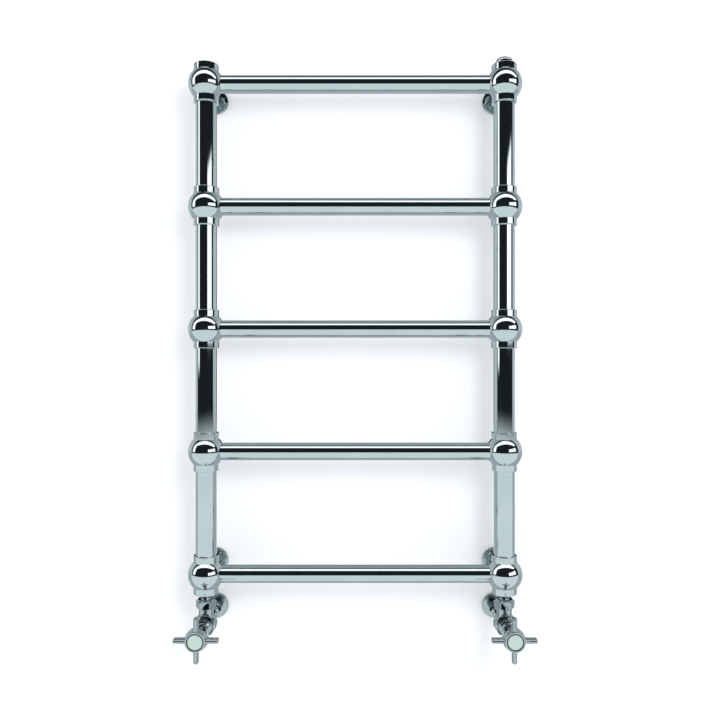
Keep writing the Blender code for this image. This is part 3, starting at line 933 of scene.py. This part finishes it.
def valve_body():
    """The angle body: inlet at the back, bonnet bore at the front, outlet towards +Y, which is up."""
    nut_end = VALVE_DROP - NUT_END
    outlet_end = VALVE_DROP - NUT_TOP - 0.0095
    branch_corners = [
        (0, outlet_end, 0),
        (OUTLET_THREAD_R, outlet_end, 0.0003),
        (OUTLET_THREAD_R, nut_end - GAP, 0),
        (OUTLET_R, nut_end - GAP, 0.0006),
        (OUTLET_R, 0, 0),
        (0, 0, 0),
    ]
    branch = turned(eased(branch_corners, False), MEDIUM, "branch")
    waterway = rod(WATERWAY_R, 0, outlet_end + 0.002, COARSE)
    steps = [
        ("UNION", branch, TO_WALL),
        ("DIFFERENCE", valve_bore(), STILL),
        ("DIFFERENCE", waterway, TO_WALL),
    ]
    return combined(valve_run(), steps)


def bonnet():
    """The headwork that screws into the body and guides the spindle."""
    male_r = CHAMBER_R - GAP
    shaft_r = SPINDLE_R + 0.0004
    corners = [
        (shaft_r, BONNET_END, 0.0002),
        (BONNET_R, BONNET_END, 0.0005),
        (BONNET_R, 0.0300, 0.0008),
        (BONNET_COLLAR_R, 0.0285, 0.0004),
        (BONNET_COLLAR_R, 0.0260, 0.0003),
        (BONNET_FLANGE_R, BONNET_FLANGE_TOP, 0.0005),
        (BONNET_FLANGE_R, BODY_FRONT + GAP, 0.0003),
        (male_r, BODY_FRONT + GAP, 0),
        (male_r, BONNET_BACK, 0.0003),
        (0.0096, BONNET_BACK, 0),
        (0.0096, 0.0160, 0),
        (shaft_r, 0.0160, 0),
    ]
    return turned(eased(corners), FINE, "bonnet")


def spindle():
    """The shaft from its thread in the plug to the tapped square that drives it."""
    shaft_corners = [
        (0, SPINDLE_FRONT, 0),
        (SPINDLE_R, SPINDLE_FRONT, 0.0004),
        (SPINDLE_R, SPINDLE_THREAD_TOP, 0.0003),
        (SPINDLE_THREAD_R, SPINDLE_THREAD_TOP, 0),
        (SPINDLE_THREAD_R, SPINDLE_BACK, 0.0005),
        (0, SPINDLE_BACK, 0),
    ]
    shaft = turned(eased(shaft_corners, False), COARSE, "spindle")
    square = block((SQUARE, SQUARE, 0.0320), (0, 0, SKIRT_FLOOR + 0.0140))
    round_part = rod(SPINDLE_R + 0.002, 0, SKIRT_FLOOR - 0.0010, COARSE)
    keep = combined(round_part, [("UNION", square, STILL)])
    tapping = rod(SCREW_R + GAP, 0.0600, SPINDLE_FRONT + 0.0020, COARSE)
    return combined(shaft, [("INTERSECT", keep, STILL), ("DIFFERENCE", tapping, STILL)])


def valve_plug():
    """The plug that closes the seat, threaded for the spindle."""
    foot = SEAT_H + GAP
    shoulder = foot + 0.0060
    thread_floor = foot + 0.0070
    thread_r = SPINDLE_THREAD_R + GAP
    corners = [
        (0, thread_floor, 0),
        (thread_r, thread_floor, 0),
        (thread_r, PLUG_FRONT, 0.0002),
        (PLUG_R, PLUG_FRONT, 0.0004),
        (PLUG_R, shoulder, 0.0004),
        (PLUG_SEAT_R, shoulder, 0.0003),
        (PLUG_SEAT_R, foot, 0.0010),
        (0, foot, 0),
    ]
    return turned(eased(corners, False), COARSE, "plug")


# Cross handle


def handle_arm():
    """One arm along +X: an oval bar that flares into the hub and ends in an eased flat tip."""
    around = 64
    flare_steps = 14
    tip_steps = 8
    half_width = ARM_WIDTH / 2
    half_depth = ARM_DEPTH / 2
    stations = []
    for i in range(flare_steps + 1):
        reach = ARM_ROOT + (ARM_FLARE_END - ARM_ROOT) * i / flare_steps
        flare = (1 - i / flare_steps) ** 2
        front = half_depth - ARM_STEP * (1 - flare)
        stations.append((reach, half_width + ARM_FLARE * flare, front, half_depth))
    for i in range(tip_steps + 1):
        turn = i / tip_steps * math.pi / 2
        inset = ARM_EASE * (1 - math.cos(turn))
        reach = HANDLE_REACH - ARM_EASE + ARM_EASE * math.sin(turn)
        stations.append((reach, half_width - inset, half_depth - ARM_STEP - inset, half_depth - inset))
    rings = [[(ARM_ROOT, 0, ARM_H)]]
    for reach, across, front, back in stations:
        ring = []
        for i in range(around):
            turn = math.tau * i / around
            depth = front if math.sin(turn) > 0 else back
            ring.append((reach, across * math.cos(turn), ARM_H + depth * math.sin(turn)))
        rings.append(ring)
    rings.append([(HANDLE_REACH, 0, ARM_H)])
    return ring_solid(rings, False, "arm")


def handle_cross():
    """A bell hub with four arms, hollow behind, with a square socket and a recess for its disc."""
    corners = [
        (TAPPING_R, SCREW_SEAT, 0),
        (SCREW_WELL_R, SCREW_SEAT, 0),
        (SCREW_WELL_R, DISC_FLOOR, 0.0002),
        (DISC_RECESS_R, DISC_FLOOR, 0.0002),
        (DISC_RECESS_R, HANDLE_FACE, 0.0004),
        (0.0174, HANDLE_FACE, 0.0008),
        (0.0190, 0.0845, 0.012),
        (0.0199, 0.0765, 0.014),
        (0.0185, 0.0675, 0.016),
        (0.0150, 0.0565, 0.014),
        (0.0133, 0.0470, 0.004),
        (0.0138, HANDLE_BACK, 0.0005),
        (SKIRT_R, HANDLE_BACK, 0.0003),
        (SKIRT_R, SKIRT_FLOOR, 0.0006),
        (TAPPING_R, SKIRT_FLOOR, 0),
    ]
    hub = turned(eased(corners), FINE, "handle_cross")
    quarter = math.radians(90)
    steps = [("UNION", handle_arm(), Matrix.Rotation(i * quarter, 4, "Z")) for i in range(4)]
    side = SQUARE + 2 * GAP
    socket = block((side, side, 0.0190), (0, 0, SKIRT_FLOOR + 0.0065))
    steps.append(("DIFFERENCE", socket, STILL))
    return combined(hub, steps)


def handle_screw():
    """The slotted screw under the disc that holds the handle on the spindle's square."""
    corners = [
        (0, SCREW_HEAD_TOP, 0),
        (SCREW_HEAD_R, SCREW_HEAD_TOP, 0.0009),
        (SCREW_HEAD_R, SCREW_SEAT + GAP, 0.0002),
        (SCREW_R, SCREW_SEAT + GAP, 0),
        (SCREW_R, SCREW_END, 0.0003),
        (0, SCREW_END, 0),
    ]
    screw = turned(eased(corners, False), COARSE, "handle_screw")
    slot = block((0.012, 0.0010, 0.0024), (0, 0, SCREW_HEAD_TOP))
    return combined(screw, [("DIFFERENCE", slot, STILL)])


def handle_disc():
    """The glazed disc: a slightly crowned face on a wider foot that fills the recess."""
    back = DISC_FLOOR + GAP
    corners = [
        (0, HANDLE_FACE, 0),
        (0.0070, HANDLE_FACE - 0.00005, 0),
        (DISC_R, HANDLE_FACE - 0.0002, 0.0006),
        (DISC_R, back + 0.0010, 0.0002),
        (DISC_RECESS_R - GAP, back + 0.0008, 0.0002),
        (DISC_RECESS_R - GAP, back, 0.0002),
        (0, back, 0),
    ]
    return turned(eased(corners, False), FINE, "handle_disc")


def build_valve(word, meshes):
    """All pieces of one valve, from the bush in the bottom ball to the rose on the wall."""
    ball = Matrix.Translation(ball_place(word, RAILS))
    centre = valve_place(word)
    valve = Matrix.Translation(centre) @ TO_FRONT
    handle = f"handle_{word}"
    chrome(f"chrome_bush_{word}", meshes["bush"], f"reducing_bush_{word}", ball)
    chrome(f"chrome_tail_{word}", meshes["tail"], f"valve_tail_{word}", ball)
    chrome(f"chrome_union_nut_{word}", meshes["union_nut"], f"union_nut_{word}", ball, "chrome_valve")
    chrome(f"chrome_valve_body_{word}", meshes["body"], f"valve_body_{word}", valve, "chrome_valve")
    chrome(f"chrome_bonnet_{word}", meshes["bonnet"], f"bonnet_{word}", valve, "chrome_valve")
    brass(f"brass_plug_{word}", meshes["plug"], f"plug_{word}", valve, f"plug_body_{word}")
    brass(f"brass_spindle_{word}", meshes["spindle"], f"spindle_{word}", valve, handle)
    chrome(f"chrome_handle_{word}", meshes["cross"], f"handle_cross_{word}", valve, "chrome_valve", handle)
    screw_node = f"handle_screw_{word}"
    place(f"zinc_screw_{word}", meshes["screw"], screw_node, handle, "zinc_steel", valve)
    disc_node = f"handle_disc_{word}"
    place(f"glazed_disc_{word}", meshes["disc"], disc_node, handle, "glazed_disc", valve)
    chrome(f"chrome_pipe_nut_{word}", meshes["pipe_nut"], f"pipe_nut_{word}", valve, "chrome_valve")
    pipe_node = f"inlet_pipe_{word}"
    pipe_turn = Matrix.Translation(middle(pipe_node)) @ TO_FRONT
    chrome(f"chrome_pipe_{word}", meshes["pipe"], pipe_node, pipe_turn, "chrome_tube")
    on_wall = Matrix.Translation((centre.x, 0, centre.z)) @ TO_FRONT
    chrome(f"chrome_pipe_rose_{word}", meshes["rose"], f"pipe_rose_{word}", on_wall, "chrome_valve")


def build_valves():
    low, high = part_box("inlet_pipe_left")
    meshes = {
        "bush": reducing_bush(),
        "tail": valve_tail(),
        "union_nut": union_nut(),
        "body": valve_body(),
        "bonnet": bonnet(),
        "plug": valve_plug(),
        "spindle": spindle(),
        "cross": handle_cross(),
        "screw": handle_screw(),
        "disc": handle_disc(),
        "pipe_nut": pipe_nut(),
        "pipe": tube(PIPE_R, PIPE_BORE_R, high.y - low.y),
        "rose": rose(PIPE_ROSE_R, PIPE_R + GAP, 0),
    }
    for _, word in SIDES:
        build_valve(word, meshes)


# Studio


def white_arch(maths, bearing, pitch, rise):
    """The arch whose shape shows in every ball: two legs and a top, open in the middle."""
    across = maths.between(bearing, ARCH_LEFT, ARCH_RIGHT, 2)
    outside = maths.both(across, maths.below(pitch, ARCH_TOP, 2.5))
    inside = maths.both(maths.above(bearing, ARCH_INNER_LEFT, 2), maths.below(pitch, ARCH_INNER_TOP, 2))
    under_right_leg = maths.both(maths.above(bearing, 0, 2), maths.below(rise, ARCH_RIGHT_END, 1.5))
    arch = maths.both(outside, maths.calc("SUBTRACT", 1.0, inside))
    arch = maths.both(arch, maths.calc("SUBTRACT", 1.0, under_right_leg))
    return maths.both(arch, maths.above(rise, ARCH_LEFT_END, 2))


def white_lamp(maths, bearing, rise):
    """The low lamp to the right, whose top edge slants."""
    over_lamp = maths.calc("SUBTRACT", rise, maths.calc("MULTIPLY_ADD", bearing, LAMP_SLANT, LAMP_TOP))
    lamp = maths.both(maths.above(rise, LAMP_BOTTOM, 1.5), maths.below(over_lamp, 0, 1.8))
    return maths.both(lamp, maths.between(bearing, LAMP_LEFT, LAMP_RIGHT, 2))


def back_wall(maths, rise, off_axis):
    """The wall, palest at mid height and darker above and below as painted shade of the wall near the
    radiator. Straight behind, the floor shows below the horizon and black above it, painted shade of the
    wall there.
    """
    # Painted shade: the mirrored wall is darker high up and below the horizon, where it lies in shade near
    # the radiator.
    shaded_high_wall = tuple(SHADED_HIGH_WALL * c for c in WALL_LIGHT)
    shaded_low_wall = tuple(SHADED_LOW_WALL * c for c in WALL_LIGHT)
    colour = maths.mix(maths.above(rise, WALL_FADE, WALL_FADE_SOFT), WALL_LIGHT, shaded_high_wall)
    colour = maths.mix(maths.below(rise, HORIZON, 10), colour, shaded_low_wall)
    # Straight behind: the floor below the horizon, and black above it as painted shade of the wall behind.
    floor_and_shade_behind = maths.mix(maths.above(rise, HORIZON, HORIZON_SOFT), FLOOR_LIGHT, BLACK_LIGHT)
    return maths.mix(maths.above(off_axis, BEHIND, 4), colour, floor_and_shade_behind)


def studio_colour(maths, direction):
    """What chrome sees in each direction: a pale floor, a dark studio, a white arch, a lamp and the wall,
    with painted shade on the wall.
    """
    x, y, z = maths.split(direction)
    forward = maths.calc("MULTIPLY", y, -1.0)
    off_axis = maths.calc("DEGREES", maths.calc("ARCCOSINE", forward))
    rise = maths.calc("DEGREES", maths.calc("ARCSINE", z))
    bearing = maths.calc("DEGREES", maths.calc("ARCTAN2", x, forward))
    pitch = maths.calc("DEGREES", maths.calc("ARCTAN2", z, forward))
    sagged = maths.calc("MULTIPLY_ADD", z, ROOM_SAG, off_axis)
    past_room = maths.calc("MULTIPLY_ADD", x, ROOM_SKEW, sagged)
    colour = maths.mix(white_arch(maths, bearing, pitch, rise), BLACK_LIGHT, WHITE_LIGHT)
    colour = maths.mix(white_lamp(maths, bearing, rise), colour, WHITE_LIGHT)
    colour = maths.mix(maths.below(rise, HORIZON, HORIZON_SOFT), colour, FLOOR_LIGHT)
    wall_colour = back_wall(maths, rise, off_axis)
    return maths.mix(maths.above(past_room, ROOM_EDGE, 3), colour, wall_colour)


def build_world():
    """Camera rays see plain white and other rays an even soft light."""
    world = bpy.data.worlds.new("studio")
    world.use_nodes = True
    bpy.context.scene.world = world
    maths = Maths(world.node_tree)
    rays = maths.nodes.new("ShaderNodeLightPath")
    colour = maths.mix(rays.outputs["Is Camera Ray"], AMBIENT_LIGHT, (1.0, 1.0, 1.0))
    maths.links.new(colour, maths.nodes["Background"].inputs["Color"])


def build_dome():
    """The studio that mirror rays see: a large dome round the radiator that shines with its pattern,
    painted shade on its wall included.
    """
    bm = bmesh.new()
    bmesh.ops.create_uvsphere(bm, u_segments=64, v_segments=32, radius=DOME_R)
    mesh = mesh_from(bm, "dome")
    material = bpy.data.materials.new("dome")
    material.use_nodes = True
    material.cycles.emission_sampling = "NONE"
    maths = Maths(material.node_tree)
    maths.nodes.remove(maths.nodes["Principled BSDF"])
    direction = maths.nodes.new("ShaderNodeVectorMath")
    direction.operation = "NORMALIZE"
    maths.links.new(maths.place_on_object(), direction.inputs[0])
    glow = maths.nodes.new("ShaderNodeEmission")
    maths.links.new(studio_colour(maths, direction.outputs[0]), glow.inputs["Color"])
    maths.links.new(glow.outputs["Emission"], maths.nodes["Material Output"].inputs["Surface"])
    mesh.materials.append(material)
    dome = bpy.data.objects.new("dome", mesh)
    bpy.context.scene.collection.objects.link(dome)
    dome.location = middle("rail_3")
    dome.visible_camera = False
    dome.visible_diffuse = False
    dome.visible_transmission = False
    dome.visible_shadow = False


def paint(name, colour):
    """Matt studio paint with a faint mottle, on the front of its sheet only: the back is clear."""
    material = bpy.data.materials.new(name)
    material.use_nodes = True
    maths = Maths(material.node_tree)
    shader = maths.nodes["Principled BSDF"]
    dark = tuple(0.99 * c for c in colour)
    maths.links.new(maths.mix(maths.noise(3, 2), dark, colour), shader.inputs["Base Color"])
    shader.inputs["Roughness"].default_value = 0.9
    shader.inputs["Specular IOR Level"].default_value = 0.0
    side = maths.nodes.new("ShaderNodeNewGeometry")
    clear = maths.nodes.new("ShaderNodeBsdfTransparent")
    choice = maths.nodes.new("ShaderNodeMixShader")
    maths.links.new(side.outputs["Backfacing"], choice.inputs["Fac"])
    maths.links.new(shader.outputs["BSDF"], choice.inputs[1])
    maths.links.new(clear.outputs["BSDF"], choice.inputs[2])
    maths.links.new(choice.outputs["Shader"], maths.nodes["Material Output"].inputs["Surface"])
    return material


def sheet(name, corners, material):
    """One flat studio surface that mirror rays pass by."""
    mesh = bpy.data.meshes.new(name)
    mesh.from_pydata(corners, [], [(0, 1, 2, 3)])
    mesh.materials.append(material)
    flat = bpy.data.objects.new(name, mesh)
    bpy.context.scene.collection.objects.link(flat)
    flat.visible_glossy = False


def area_light(name, position, target, size, power):
    """A round lamp that mirror rays pass by, as strong far away as near."""
    data = bpy.data.lights.new(name, "AREA")
    data.shape = "DISK"
    data.size = size
    data.energy = power
    data.use_nodes = True
    falloff = data.node_tree.nodes.new("ShaderNodeLightFalloff")
    falloff.inputs["Strength"].default_value = 1.0
    emission = data.node_tree.nodes["Emission"]
    data.node_tree.links.new(falloff.outputs["Constant"], emission.inputs["Strength"])
    lamp = bpy.data.objects.new(name, data)
    bpy.context.scene.collection.objects.link(lamp)
    lamp.location = position
    lamp.rotation_euler = (Vector(target) - Vector(position)).to_track_quat("-Z", "Y").to_euler()
    lamp.visible_glossy = False
    lamp.visible_camera = False


def build_studio():
    """A wall just behind the roses, a floor below, one lamp, soft light and what the chrome mirrors."""
    bpy.context.scene.view_settings.view_transform = "Standard"
    low, high = cad_box
    floor_z = low.z - FLOOR_DROP
    wall_corners = [
        (-ROOM_SIDE, WALL_Y, floor_z),
        (ROOM_SIDE, WALL_Y, floor_z),
        (ROOM_SIDE, WALL_Y, ROOM_TOP),
        (-ROOM_SIDE, WALL_Y, ROOM_TOP),
    ]
    floor_corners = [
        (-ROOM_SIDE, -ROOM_SIDE, floor_z),
        (ROOM_SIDE, -ROOM_SIDE, floor_z),
        (ROOM_SIDE, ROOM_SIDE, floor_z),
        (-ROOM_SIDE, ROOM_SIDE, floor_z),
    ]
    sheet("wall", wall_corners, paint("wall_paint", WALL_PAINT))
    sheet("floor", floor_corners, paint("floor_paint", FLOOR_PAINT))
    area_light("key", KEY_PLACE, (low + high) / 2 + KEY_AIM, KEY_SIZE, KEY_POWER)
    build_world()
    build_dome()


def build_camera():
    data = bpy.data.cameras.new("camera")
    data.lens = CAMERA_LENS
    data.sensor_width = CAMERA_SENSOR
    camera = bpy.data.objects.new("camera", data)
    bpy.context.scene.collection.objects.link(camera)
    camera.location = CAMERA_PLACE
    camera.rotation_euler = (math.radians(90), 0, 0)
    bpy.context.scene.camera = camera


build_columns()
build_rails()
build_wall_stays()
build_top_fittings()
build_valves()
build_studio()
build_camera()
